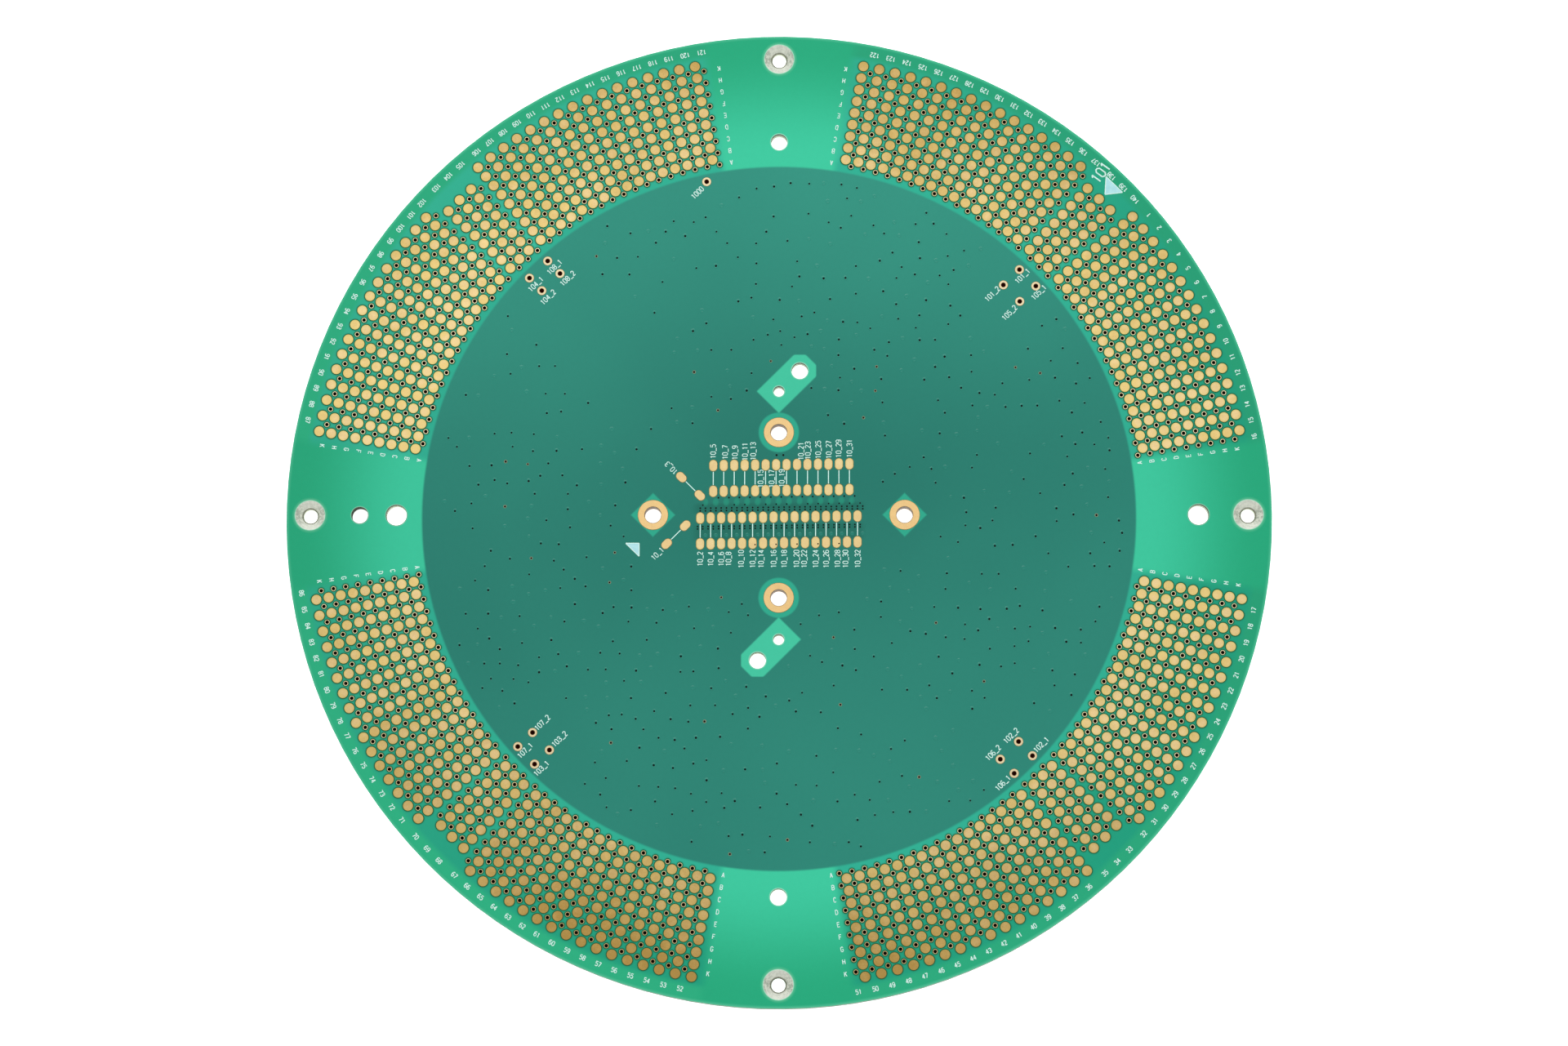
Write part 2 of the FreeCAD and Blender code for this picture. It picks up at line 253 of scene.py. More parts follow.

# Mask over bare glass: bright in the windows, deeper green towards the rim and in the contact
# field, where painted light also makes it lighter on one side of the board than the other
window = radius.rise(88, 117).blend(mask_paint(66, 199, 158), mask_paint(46, 168, 124))
in_field = 1 - abs(quarter).rise(35.2, 36.8)
light_lean = (x * 0.87 + y * 0.5) * -0.0017
ring_tone = (light_lean + 0.5).blend(mask_paint(40, 140, 106), mask_paint(56, 188, 138))
field_tone = radius.rise(90, 113) * 0.45 + (x - y) * 0.0025 + 0.4
field_tone = field_tone.blend(mask_paint(65, 188, 158), mask_paint(41, 156, 124))
ring_tone = radius.rise(114.5, 116.5).blend(field_tone, ring_tone)
band_tone = (1 - radius.rise(88.2, 90)).blend(ring_tone, mask_paint(54, 174, 146))
glass = (in_field * (1 - radius.rise(118.2, 119.2) * 0.5)).blend(window, band_tone)
# Painted shade darkens the mask round the gold pads and vias and between them
shade_round_gold = 1 - gold_edge.rise(0.05, 0.58)
glass = (shade_round_gold * 0.68).blend(glass, mask_paint(34, 116, 88))
# The mask thins at the routed rim
glass = radius.rise(118.5, BOARD_RADIUS + 0.02).blend(glass, mask_paint(82, 187, 147))
# The planes under the disc, with a soft etched edge
planes = 1 - radius.rise(PLANE_RADIUS - 0.35, PLANE_RADIUS + 0.35)
# Openings in the planes: round clearances at the upper and lower rings, diamonds at the left
# and right ones, and a slanted strip at each pin hole
clearance = 1 - distance(x, abs(y), 0, RING_ALONG).rise(4.6, 5.15)
diamond = 1 - (abs(abs(x) - RING_ACROSS) + abs(y)).rise(5.0, 5.7)
side = y / (abs(y) + 0.001)
strip_x = x * side
strip_y = abs(y) - PIN_REACH
strip_along = (strip_x + strip_y) * math.sqrt(0.5)
strip_across = abs(strip_y - strip_x) * math.sqrt(0.5)
strip = (1 - strip_across.rise(3.55, 4.05)) * strip_along.band(-3.8, 11.0, 0.25)
strip = strip * (1 - (strip_along + strip_across).rise(12.5, 13.1))
copper = greatest(clearance, diamond).blend(mask_over_plane(place), mask_paint(55, 172, 143))
copper = strip.blend(copper, mask_paint(73, 199, 162))
# Between the link pads the planes are crowded with vias, and small openings let light through
level = y - x * ROW_SLOPE
busy = (level.band(0.6, 2.9, 0.5) + level.band(-6.2, -2.2, 0.6)) * abs(x).rise(21.5, 19.0)
copper = (busy * 0.55).blend(copper, mask_paint(32, 104, 90))
cell = x.math("MODULO", x + 80.0, LINK_PITCH) - LINK_PITCH / 2 + 0.05
above = level - 3.35
glimmer = (cell * cell / 0.5 + above * above / 0.9).rise(1.6, 0.2)
copper = (glimmer * abs(x).rise(19.0, 17.5) * 0.4).blend(copper, mask_paint(48, 170, 136))
green = planes.blend(glass, copper)
# A thin dark edge where the mask stops at gold
edge = 1 - gold_edge.rise(0.08, 0.28)
green = edge.blend(green, mask_paint(28, 88, 54))
# The mask thins to a mint line at every drilled edge; at the back the mounting holes have no
# countersink. The holes outside the planes have a dark lip of painted shade on the left and the
# right.
sink = distance(greatest(abs(x), abs(y)), least(abs(x), abs(y)), MOUNT_REACH, 0)
sink_edge = sink + on_back * (SINK_RADIUS - MOUNT_HOLE)
green = sink_edge.rise(4.5, 3.75).blend(green, mask_paint(86, 184, 142))
green = sink_edge.rise(3.85, SINK_RADIUS).blend(green, mask_paint(170, 224, 198))
to_keying = distance(x, y, -KEYING_REACH, 0)
drilled = least(
    distance(x, y, LOCATING_RIGHT, 0) - LOCATING_HOLE,
    distance(x, y, -LOCATING_LEFT, 0) - LOCATING_HOLE,
    to_keying - KEYING_HOLE,
    distance(x, abs(y), 0, TOOLING_REACH) - TOOLING_HOLE,
    distance(x, abs(y), 0, PIN_REACH) - PIN_HOLE,
    distance(strip_x, abs(y), SCREW_ACROSS, SCREW_ALONG) - SCREW_HOLE)
green = drilled.rise(0.34, 0.05).blend(green, mask_paint(150, 216, 188))
green = (drilled.rise(0.16, 0.06) * abs(x).rise(84, 86) * 0.7).blend(green, paint(84, 90, 58))
# Slow drift of tone over the sheet and a fine grain
drift = place.noise(14, 2) * 0.05 + place.noise(900, 2) * 0.05 + 0.9
drift = drift + abs(y).rise(10, 100) * 0.07 + x * 0.0002
green = green.node("ShaderNodeVectorMath", {"operation": "SCALE"}, {0: green, "Scale": drift})
# Ends of the pad vias at the back: a gold ring round a bore painted dark as shade
via_ring = on_back * (via_edge < 0)
via_bore_shade = on_back * (via_edge < VIA_BORE_BEHIND - VIA_RADIUS)
green = via_ring.blend(green, paint(226, 200, 140))
green = via_bore_shade.blend(green, paint(22, 12, 8))
# Bare glass-epoxy: resin-rich layers along the rim, darkened towards its foot as painted shade,
# drilled walls darkened at their mouth by painted shade and paler inside, and cut fibres in the
# countersinks. Two of the holes are darkened right through by painted shade.
layers = place.node(
    "ShaderNodeTexWave", {"wave_type": "BANDS", "bands_direction": "Z"},
    {"Vector": place, "Scale": 900.0, "Distortion": 1.2, "Detail": 2.0, "Detail Scale": 3.0},
    "Fac")
fibre = place.noise(1400, 3, 0.65)
rim_tone = layers.blend(paint(112, 126, 112), paint(140, 152, 136))
rim_tone = z.rise(1.6, 0.4).blend(rim_tone, paint(92, 100, 94))
hole_tone = layers.blend(paint(196, 200, 180), paint(222, 226, 210))
wall_shade = least(to_keying, distance(x, y, 0, -MOUNT_REACH)).rise(3, 2.4)
wall_shade = greatest(wall_shade, z.rise(1.5, 2.3) * 0.9)
hole_tone = wall_shade.blend(hole_tone, paint(58, 60, 40))
wall_tone = (radius > 119.0).blend(hole_tone, rim_tone)
# Light sweeps over the upper and lower flanks of the cones
sweep = abs(y - side * MOUNT_REACH) * (abs(y) > abs(x)) + abs(y) * (abs(x) > abs(y))
sweep = sweep / (sink + 0.001)
cone_tone = fibre.rise(0.4, 0.6).blend(paint(170, 178, 164), paint(214, 218, 204))
cone_tone = (sweep.rise(0.3, 0.95) * 0.6).blend(cone_tone, paint(230, 233, 222))
# A dark ring at the foot of each cone, round the hole, is painted shade
cone_tone = (sink.rise(2.16, 1.88) * 0.75).blend(cone_tone, paint(88, 86, 62))
flat = abs(facing).rise(0.85, 0.97)
cone = abs(facing).band(0.45, 0.88, 0.05)
bare = cone.blend(wall_tone, cone_tone)
colour = flat.blend(bare, green)
feed(mask_shader, "Base Color", colour)
feed(mask_shader, "Metallic", via_ring - via_bore_shade)
feed(mask_shader, "Roughness", 0.72 - flat * 0.4)
relief = gold_edge.rise(0.0, 0.3) * 0.6 + planes * 0.5 + place.noise(450, 2) * 0.25
relief = relief + (1 - flat) * fibre * 1.5
feed(mask_shader, "Normal", relief.bump(0.25, 0.00004))
finish_node("laminate", mask)


# ---------------------------------------------------------------- Contact pads
# Round copper lands of 2.4 mm that spring probes touch down on, plated with nickel and soft
# gold. They stand a few hundredths of a millimetre proud and have a fine plated grain.
def gold_finish(
        name, tone, warm, deep, roughness, grain, shade_outward=0.0, rim=None, wall=None, bores=()):
    """Plated gold: a metal that wanders between two hues and is broken by a fine grain.

    It deepens outwards over the board by a share, most of all towards the top and the bottom;
    this deepening is painted shade. The rim says how near a point is to the edge of its pad,
    where the gold turns yellower. The wall is the tone of the barrels near their mouth, a painted
    shade that pales lower down, and each bore is a place and a radius with a dark lip of painted
    shade."""
    material, shader, here = new_finish(
        name, {"Metallic": 1.0, "Roughness": roughness, "IOR": 1.45})
    shade = here.noise(45, 2, 0.6).rise(0.35, 0.65) * 0.45
    shade = shade + here.noise(420, 2).rise(0.35, 0.65) * 0.3
    shade = shade + here.noise(3200, 2, 0.7).rise(0.4, 0.62) * 0.25
    colour = here.noise(170, 2).rise(0.42, 0.6).blend(tone, warm)
    if shade_outward:
        far_x, far_y = here.axis("X") * 10, here.axis("Y") * 10 - 0.05
        far = far_x * far_x * 0.7 + far_y * far_y * 2 + far_x * far_y * 0.35
        shade = shade * 0.4 - 0.12 + (far - 0.8) * 0.57 * shade_outward
    if rim:
        colour = (rim(here) * 0.8).blend(colour, paint(224, 210, 126))
    colour = shade.blend(colour, deep)
    if wall:
        upright = Wire(here.tree, here.socket.node.outputs["Normal"]).axis("Z")
        barrel = (here.axis("Z") * 1000).rise(1.4, 2.4).blend(paint(206, 190, 158), wall)
        colour = abs(upright).rise(0.7, 0.3).blend(colour, barrel)
    for across, along, bore in bores:
        x, y = flat_place(here)
        lip = distance(abs(x), abs(y), across, along)
        colour = lip.rise(bore + 0.14, bore + 0.02).blend(colour, wall)
    feed(shader, "Base Color", colour)
    feed(shader, "Roughness", here.noise(700, 2) * 0.16 + (roughness - 0.08))
    feed(shader, "Normal", here.noise(2600, 3).bump(grain, 0.00001))
    return material


def pad_rim(here):
    """0 over the middle of a contact pad and 1 at its edge."""
    x, y = flat_place(here)
    return to_nearest_pad((x * x + y * y) ** 0.5, turn_in_quarter(x, y)).rise(0.75, 1.22)


# The contact pads deepen outwards over the board as painted shade
contact_gold = gold_finish(
    "contact_gold", paint(245, 217, 158), paint(240, 211, 138), paint(184, 149, 80),
    roughness=0.42, grain=0.3, shade_outward=0.84, rim=pad_rim)
for name in sorted(nodes):
    if name.startswith("contact_pads"):
        finish_node(name, contact_gold)


# ---------------------------------------------------------------- Pad vias
# Every contact pad has a plated through hole beside it, half a row inwards and one degree
# clockwise: a pale gold ring of 1.2 mm round a drilled bore that looks black, a sunk disc painted
# in shade.
def start_piece():
    """Leaves nothing selected, so that the next operators act on the new piece alone."""
    bpy.ops.object.select_all(action="DESELECT")


def select_faces(test):
    """Selects the faces of the piece in edit mode whose centre passes a test."""
    work = bmesh.from_edit_mesh(bpy.context.object.data)
    for face in work.faces:
        face.select_set(bool(test(face.calc_center_median())))
    work.select_flush_mode()
    bmesh.update_edit_mesh(bpy.context.object.data)


def model_via(name, ring_radius, bore_radius, corners, base, top, floor, ring, bore):
    """One plated hole: a disc is raised, inset and sunk, and the sunk faces get the bore."""
    start_piece()
    bpy.ops.mesh.primitive_circle_add(
        vertices=corners, radius=ring_radius * MM, fill_type="NGON", location=(0, 0, base * MM))
    piece = bpy.context.object
    piece.name = name
    bpy.ops.object.transform_apply(location=True, rotation=True, scale=True)
    piece.data.materials.append(ring)
    piece.data.materials.append(bore)
    bpy.ops.object.mode_set(mode="EDIT")
    bpy.ops.mesh.select_all(action="SELECT")
    bpy.ops.mesh.extrude_region_move(
        TRANSFORM_OT_translate={"value": (0, 0, (top - base) * MM)})
    bpy.ops.mesh.inset(thickness=(ring_radius - bore_radius) * MM)
    bpy.ops.mesh.extrude_region_move(
        TRANSFORM_OT_translate={"value": (0, 0, (floor - top) * MM)})
    select_faces(lambda centre: math.hypot(centre.x, centre.y) < bore_radius * MM
                 and centre.z > base * MM * 1.00001 and centre.z < top * MM * 0.99999)
    piece.active_material_index = 1
    bpy.ops.object.material_slot_assign()
    bpy.ops.mesh.select_all(action="SELECT")
    bpy.ops.mesh.normals_make_consistent(inside=False)
    bpy.ops.object.mode_set(mode="OBJECT")
    return piece


def set_out(name, model, places):
    """Repeats a model at its places, each copy with its own mesh, and joins them as a piece."""
    start_piece()
    for here in places:
        copy = model.copy()
        copy.data = model.data.copy()
        copy.data.transform(here)
        bpy.context.collection.objects.link(copy)
        copy.select_set(True)
    bpy.context.view_layer.objects.active = copy
    bpy.ops.object.join()
    copy.name = copy.data.name = name
    return copy


def spot(across, along, turn=0.0, scale=1.0):
    """A place on the front face, in millimetres, turned by degrees."""
    return (Matrix.Translation((across * MM, along * MM, 0))
            @ Matrix.Rotation(math.radians(turn), 4, "Z")
            @ Matrix.Diagonal((scale, scale, 1, 1)))


def polar(reach, angle):
    return reach * math.cos(math.radians(angle)), reach * math.sin(math.radians(angle))


def mottled_finish(
        name, settings, dark, pale, scale, detail=2.0, roughness=0.5, span=None, grain=0.0):
    """A finish that wanders between two near colours. A span sharpens the patches and a grain
    roughens the surface."""
    material, shader, here = new_finish(name, settings)
    patches = here.noise(scale, detail, roughness)
    if span:
        patches = patches.rise(*span)
    feed(shader, "Base Color", patches.blend(dark, pale))
    if grain:
        feed(shader, "Normal", here.noise(3000, 2).bump(grain, 0.00001))
    return material


via_gold = gold_finish(
    "via_gold", paint(244, 234, 192), paint(240, 228, 184), paint(196, 174, 122),
    roughness=0.45, grain=0.2, shade_outward=0.82)
bore_shade = mottled_finish(
    "painted_bore_shade", {"Roughness": 0.8, "Specular IOR Level": 0.0},
    paint(8, 2, 1), paint(24, 9, 4), 2500)

pad_via = model_via(
    "pad_via", VIA_RADIUS, bore_radius=0.455, corners=14, base=3.16, top=3.225, floor=3.186,
    ring=via_gold, bore=bore_shade)
QUARTERS = {"upper_right": 45, "upper_left": 135, "lower_left": 225, "lower_right": 315}
# Each column's angle from the diagonal of its quarter and its count of rows
COLUMNS = [(sign * (FIRST_COLUMN + COLUMN_ANGLE * k), SIDE_ROWS)
           for sign in (-1, 1) for k in range(SIDE_COLUMNS)]
COLUMNS += [(k * COLUMN_ANGLE, MIDDLE_ROWS) for k in (-1, 0, 1)]
for quarter_name, diagonal in QUARTERS.items():
    places = []
    for column, rows in COLUMNS:
        for row in range(rows):
            angle = diagonal + column - COLUMN_ANGLE / 2
            places.append(spot(*polar(INNER_ROW + row * ROW_PITCH - VIA_SHIFT, angle), angle))
    vias = set_out(f"pad_vias_{quarter_name}", pad_via, places)
    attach(vias, "root")
bpy.data.objects.remove(pad_via)


# ---------------------------------------------------------------- Link pads
# Facing pairs of long gold pads near the centre, joined across by hand with a drop of solder
# where a link is wanted. The mask stops a tenth of a millimetre outside each of them.
PAIR_PITCH = 6.33
EDGE_WIDTH, EDGE_LENGTH = 2.11, 2.96
# Each block's count of pairs and its middle; each slanted pair's middle and its turn
LINK_BLOCKS = {"upper": (14, 0.61, 9.17), "lower": (16, 0.02, -3.72)}
SLANT_PAIRS = {"high": (-21.4, 7.05, 45), "low": (-24.9, -4.86, -45)}


def link_rim(here):
    """0 over the middle of a link pad of the two blocks and 1 at its edge."""
    (_, upper_x, upper_y), (_, lower_x, lower_y) = LINK_BLOCKS["upper"], LINK_BLOCKS["lower"]
    upper_level, lower_level = upper_y - upper_x * ROW_SLOPE, lower_y - lower_x * ROW_SLOPE
    x, y = flat_place(here)
    level = y - x * ROW_SLOPE
    in_upper = level > (upper_level + lower_level) / 2
    across = x - lower_x - in_upper * (upper_x - lower_x)
    across = x.math("MODULO", across + LINK_PITCH * 20, LINK_PITCH)
    along = level - lower_level - in_upper * (upper_level - lower_level)
    along = abs(abs(along) - PAIR_PITCH / 2) - (EDGE_LENGTH - EDGE_WIDTH) / 2
    return distance(across, greatest(along, 0), LINK_PITCH / 2, 0).rise(0.4, 1.05)


link_gold = gold_finish(
    "link_gold", paint(244, 217, 160), paint(242, 211, 148), paint(237, 206, 149),
    roughness=0.42, grain=0.3)
# On the pads of the blocks the pale middle inside the yellower rim is a painted highlight
block_gold = gold_finish(
    "block_gold", paint(244, 221, 164), paint(242, 215, 152), paint(236, 207, 148),
    roughness=0.42, grain=0.3, rim=link_rim)
for name in sorted(nodes):
    if name.startswith("link_pads"):
        finish_node(name, link_gold if "slant" in name else block_gold)

mask_edge = mottled_finish(
    "mask_edge", {"Roughness": 0.5, "Specular IOR Level": 0.3},
    paint(112, 106, 62), paint(140, 122, 74), 1500, span=(0.4, 0.6))


def model_land(name, width, length, corners, base, top, material):
    """A flat round-ended land: a disc is raised, then its halves are drawn apart."""
    start_piece()
    bpy.ops.mesh.primitive_circle_add(
        vertices=corners, radius=width / 2 * MM, fill_type="NGON", location=(0, 0, base * MM))
    piece = bpy.context.object
    piece.name = name
    bpy.ops.object.transform_apply(location=True, rotation=True, scale=True)
    piece.data.materials.append(material)
    bpy.ops.object.mode_set(mode="EDIT")
    bpy.ops.mesh.select_all(action="SELECT")
    bpy.ops.mesh.extrude_region_move(
        TRANSFORM_OT_translate={"value": (0, 0, (top - base) * MM)})
    work = bmesh.from_edit_mesh(piece.data)
    for half in (1, -1):
        for vert in work.verts:
            vert.select_set(vert.co.y * half > 0.001 * MM)
        work.select_flush_mode()
        bpy.ops.transform.translate(value=(0, half * (length - width) / 2 * MM, 0))
    bpy.ops.mesh.select_all(action="SELECT")
    bpy.ops.mesh.normals_make_consistent(inside=False)
    bpy.ops.object.mode_set(mode="OBJECT")
    return piece


def link_column(block, column):
    """The middle of one pair in a block of link pads."""
    count, across, along = LINK_BLOCKS[block]
    step = (column - (count - 1) / 2) * LINK_PITCH
    return across + step, along + step * ROW_SLOPE


land_edge = model_land(
    "land_edge", EDGE_WIDTH, EDGE_LENGTH, corners=22, base=3.17, top=3.186, material=mask_edge)
places = []
for block, (count, _, _) in LINK_BLOCKS.items():
    for column in range(count):
        across, along = link_column(block, column)
        places += [spot(across, along + half * PAIR_PITCH / 2) for half in (-1, 1)]
for across, along, turn in SLANT_PAIRS.values():
    reach = Matrix.Rotation(math.radians(turn), 2) @ Vector((0, PAIR_PITCH / 2))
    places += [spot(across + half * reach.x, along + half * reach.y, turn) for half in (-1, 1)]
edges = set_out("link_pad_edges", land_edge, places)
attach(edges, "root")
bpy.data.objects.remove(land_edge)


# ---------------------------------------------------------------- Plated rings and test points
# Four gold rings take the screws of the insert, and seventeen small ones are soldered to for
# measuring. Each is a plated hole whose barrel goes right through the board.
RING_BORE = 2.0
# The barrels of the rings and test points darken towards their mouth, and round each ring's bore,
# as painted shade
ring_gold = gold_finish(
    "ring_gold", paint(250, 215, 152), paint(249, 213, 148), paint(244, 205, 141),
    roughness=0.4, grain=0.3, wall=paint(96, 74, 44),
    bores=[(RING_ACROSS, 0, RING_BORE), (0, RING_ALONG, RING_BORE)])
test_gold = gold_finish(
    "test_gold", paint(246, 228, 186), paint(244, 224, 178), paint(234, 212, 168),
    roughness=0.4, grain=0.2, wall=paint(80, 46, 22))
for name in sorted(nodes):
    if name.startswith("mounting_ring"):
        finish_node(name, ring_gold)
    if name.startswith("test_point"):
        finish_node(name, test_gold)


def model_collar(name, inner, outer, corners, base, top, material):
    """A flat collar: a circle is drawn, its edge drawn outwards, and the sheet thickened."""
    start_piece()
    bpy.ops.mesh.primitive_circle_add(
        vertices=corners, radius=inner * MM, fill_type="NOTHING", location=(0, 0, top * MM))
    piece = bpy.context.object
    piece.name = name
    bpy.ops.object.transform_apply(location=True, rotation=True, scale=True)
    piece.data.materials.append(material)
    bpy.ops.object.mode_set(mode="EDIT")
    bpy.ops.mesh.select_all(action="SELECT")
    bpy.ops.mesh.extrude_edges_move()
    bpy.ops.transform.resize(
        value=(outer / inner, outer / inner, 1), center_override=(0, 0, top * MM))
    bpy.ops.mesh.select_all(action="SELECT")
    bpy.ops.mesh.normals_make_consistent(inside=False)
    bpy.ops.object.mode_set(mode="OBJECT")
    solid = piece.modifiers.new("thickness", "SOLIDIFY")
    solid.thickness = (top - base) * MM
    solid.offset = -1 if piece.data.polygons[0].normal.z > 0 else 1
    bpy.ops.object.modifier_apply(modifier=solid.name)
    return piece


RINGS = [(RING_ACROSS, 0), (-RING_ACROSS, 0), (0, RING_ALONG), (0, -RING_ALONG)]
# Each group is two by two and leans a degree clockwise from its diagonal. For each: the angle
# of the diagonal, how far its middle stands inside the first row, and its spacing outwards and
# across. The single point has its own inset and angle.
TEST_GROUPS = {
    "upper_right": (45, 8.17, 5.49, 5.71), "upper_left": (135, 7.38, 4.37, 6.14),
    "lower_left": (225, 7.87, 4.91, 5.89), "lower_right": (315, 7.53, 4.76, 6.14)}
GROUP_LEAN = 1
SINGLE_INSET, SINGLE_ANGLE = 5.12, 102.1
test_points = [polar(INNER_ROW - SINGLE_INSET, SINGLE_ANGLE)]
for diagonal, inset, outwards, spread in TEST_GROUPS.values():
    turned = Matrix.Rotation(math.radians(diagonal - GROUP_LEAN), 2)
    for out in (-0.5, 0.5):
        for over in (-0.5, 0.5):
            centre = turned @ Vector((INNER_ROW - inset + out * outwards, over * spread))
            test_points.append((centre.x, centre.y))
ring_collar = model_collar(
    "ring_collar", inner=3.55, outer=3.7, corners=64, base=3.172, top=3.188, material=mask_edge)
test_collar = model_collar(
    "test_collar", inner=1.03, outer=1.16, corners=24, base=3.172, top=3.188, material=mask_edge)
for name, model, centres in (
    ("ring_mask_edges", ring_collar, RINGS), ("test_mask_edges", test_collar, test_points),
):
    collars = set_out(name, model, [spot(*centre) for centre in centres])
    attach(collars, "root")
    bpy.data.objects.remove(model)

# A dark brown plug of painted shade stands in the bore of every test point; its mouth is a dull
# brown
shade_plug_rim = mottled_finish(
    "shade_plug_rim", {"Roughness": 0.7, "Specular IOR Level": 0.0},
    paint(58, 22, 8), paint(78, 32, 13), 2200, detail=3, span=(0.3, 0.7))
shade_plug_core = mottled_finish(
    "shade_plug_core", {"Roughness": 0.8, "Specular IOR Level": 0.0},
    paint(44, 14, 4), paint(62, 22, 8), 2200, detail=3, span=(0.3, 0.7))
# The plug is modelled as a sunk hole: a dull brown rim round a darker core, both painted shade
socket = model_via(
    "socket", ring_radius=0.596, bore_radius=0.4, corners=20, base=0.4, top=3.08, floor=2.5,
    ring=shade_plug_rim, bore=shade_plug_core)
sockets = set_out("test_bore_shades", socket, [spot(*centre) for centre in test_points])
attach(sockets, "root")
bpy.data.objects.remove(socket)


# ---------------------------------------------------------------- Plane vias
# Small drilled vias stitch the inner planes together. The mask stands over each in a low mound.
# Most bores are left open and look black, a sunk disc painted in shade; some are closed over, and
# a few keep a bare ring.
MOUND_BASE, MOUND_SHOULDER, MOUND_DIP = 3.17, 3.182, 0.03
dot_bore_shade = mottled_finish(
    "dot_bore_shade", {"Roughness": 0.6, "Specular IOR Level": 0.1},
    paint(4, 6, 5), paint(12, 20, 18), 2500)
bare_ring = mottled_finish(
    "bare_ring", {"Metallic": 0.4, "Roughness": 0.5},
    paint(112, 124, 98), paint(138, 140, 112), 2500, span=(0.4, 0.6))
tent_mask, tent_shader, here = new_finish("tent_mask", MASK_SETTINGS)
feed(tent_shader, "Base Color", mask_over_plane(here))


def model_mound(name, foot, crown, bore_radius, corners, top, skin, bore):
    """A mound of mask: a disc is raised, its top drawn in to the crown, and the bore let in."""
    start_piece()
    bpy.ops.mesh.primitive_circle_add(
        vertices=corners, radius=foot * MM, fill_type="NGON", location=(0, 0, MOUND_BASE * MM))
    piece = bpy.context.object
    piece.name = name
    bpy.ops.object.transform_apply(location=True, rotation=True, scale=True)
    piece.data.materials.append(skin)
    piece.data.materials.append(bore)
    bpy.ops.object.mode_set(mode="EDIT")
    bpy.ops.mesh.select_all(action="SELECT")
    bpy.ops.mesh.extrude_region_move(
        TRANSFORM_OT_translate={"value": (0, 0, (MOUND_SHOULDER - MOUND_BASE) * MM)})
    bpy.ops.mesh.inset(thickness=(foot - crown) * MM)
    bpy.ops.transform.translate(value=(0, 0, (top - MOUND_SHOULDER) * MM))
    bpy.ops.mesh.inset(thickness=(crown - bore_radius) * MM)
    bpy.ops.transform.translate(value=(0, 0, -MOUND_DIP * MM))
    piece.active_material_index = 1
    bpy.ops.object.material_slot_assign()
    bpy.ops.mesh.select_all(action="SELECT")
    bpy.ops.mesh.normals_make_consistent(inside=False)
    bpy.ops.object.mode_set(mode="OBJECT")
    return piece


plain_dot = model_via(
    "plain_dot", ring_radius=0.3, bore_radius=0.27, corners=10, base=3.172, top=3.188,
    floor=3.184, ring=tent_mask, bore=dot_bore_shade)
open_mound = model_mound(
    "open_mound", foot=0.62, crown=0.4, bore_radius=0.27, corners=14, top=3.27,
    skin=tent_mask, bore=dot_bore_shade)
closed_mound = model_mound(
    "closed_mound", foot=0.6, crown=0.36, bore_radius=0.2, corners=14, top=3.26,
    skin=tent_mask, bore=tent_mask)
ringed_dot = model_via(
    "ringed_dot", ring_radius=0.4, bore_radius=0.25, corners=12, base=3.172, top=3.19,
    floor=3.185, ring=bare_ring, bore=dot_bore_shade)
pad_dot = model_via(
    "pad_dot", ring_radius=0.24, bore_radius=0.2, corners=10, base=3.24, top=3.256,
    floor=3.253, ring=link_gold, bore=dot_bore_shade)

# Rows of vias between the link pads, a pitch apart and parallel to the rows of pads. Where a
# row stands is measured from the row of pads beside it.
plain_places, open_places, closed_places, ringed_places, pad_places = [], [], [], [], []
UPPER_PAIRS, LOWER_PAIRS = LINK_BLOCKS["upper"][0], LINK_BLOCKS["lower"][0]
for column in range(UPPER_PAIRS):
    across, along = link_column("upper", column)
    plain_places.append(spot(across + LINK_PITCH / 2, along - PAIR_PITCH / 2 - 1.58, 0, 0.85))
for column in range(LOWER_PAIRS):
    across, along = link_column("lower", column)
    upper_row = along + PAIR_PITCH / 2
    if column not in (1, 2, 5, 9):
        plain_places.append(spot(across + 0.63, upper_row + 3.2, 0, 0.75))
    for step in (0, 1):
        for height in (2.44, 1.79):
            plain_places.append(spot(across + step * LINK_PITCH / 2, upper_row + height, 0, 0.85))
    for shift in (-0.63, 0.63):
        for depth in (2.06, 2.66):
            plain_places.append(spot(across + shift, upper_row - depth, 0, 0.85))
    closed_places.append(spot(across + LINK_PITCH / 2, upper_row - 4.24, 0, 0.85))
    if column in (5, 7, 9, 11, 13):
        pad_places.append(spot(across + 0.6, along - PAIR_PITCH / 2 - 0.35))
for across in (-0.55, 1.1):
    plain_places.append(spot(across, 14.7, 0, 1.0))

# The others stand in short runs all over the planes, clear of everything printed or plated.
# Each place to keep out of is a middle and a radius. The crowding of a quarter is looked up by
# whether it lies right and whether it lies upwards; the fewest stand in the upper left.
KEEP_OUT = [(*centre, 7) for centre in RINGS]
KEEP_OUT += [(-35, -8.5, 4), (-20, 80, 5), (-41, 40, 13), (-48, 47, 9), (-34, 33, 9)]
CROWDING = {
    (True, True): 0.95, (False, True): 0.6, (False, False): 1.0, (True, False): 0.72}
RUNS, MOST_SCATTERED = 3000, 660
CLEAR_REACH, CLEAR_SPACING = 83.5, 3.0
OPEN_SHARE, CLOSED_SHARE = 0.7, 0.26
scatter = random.Random(11)
scattered = []


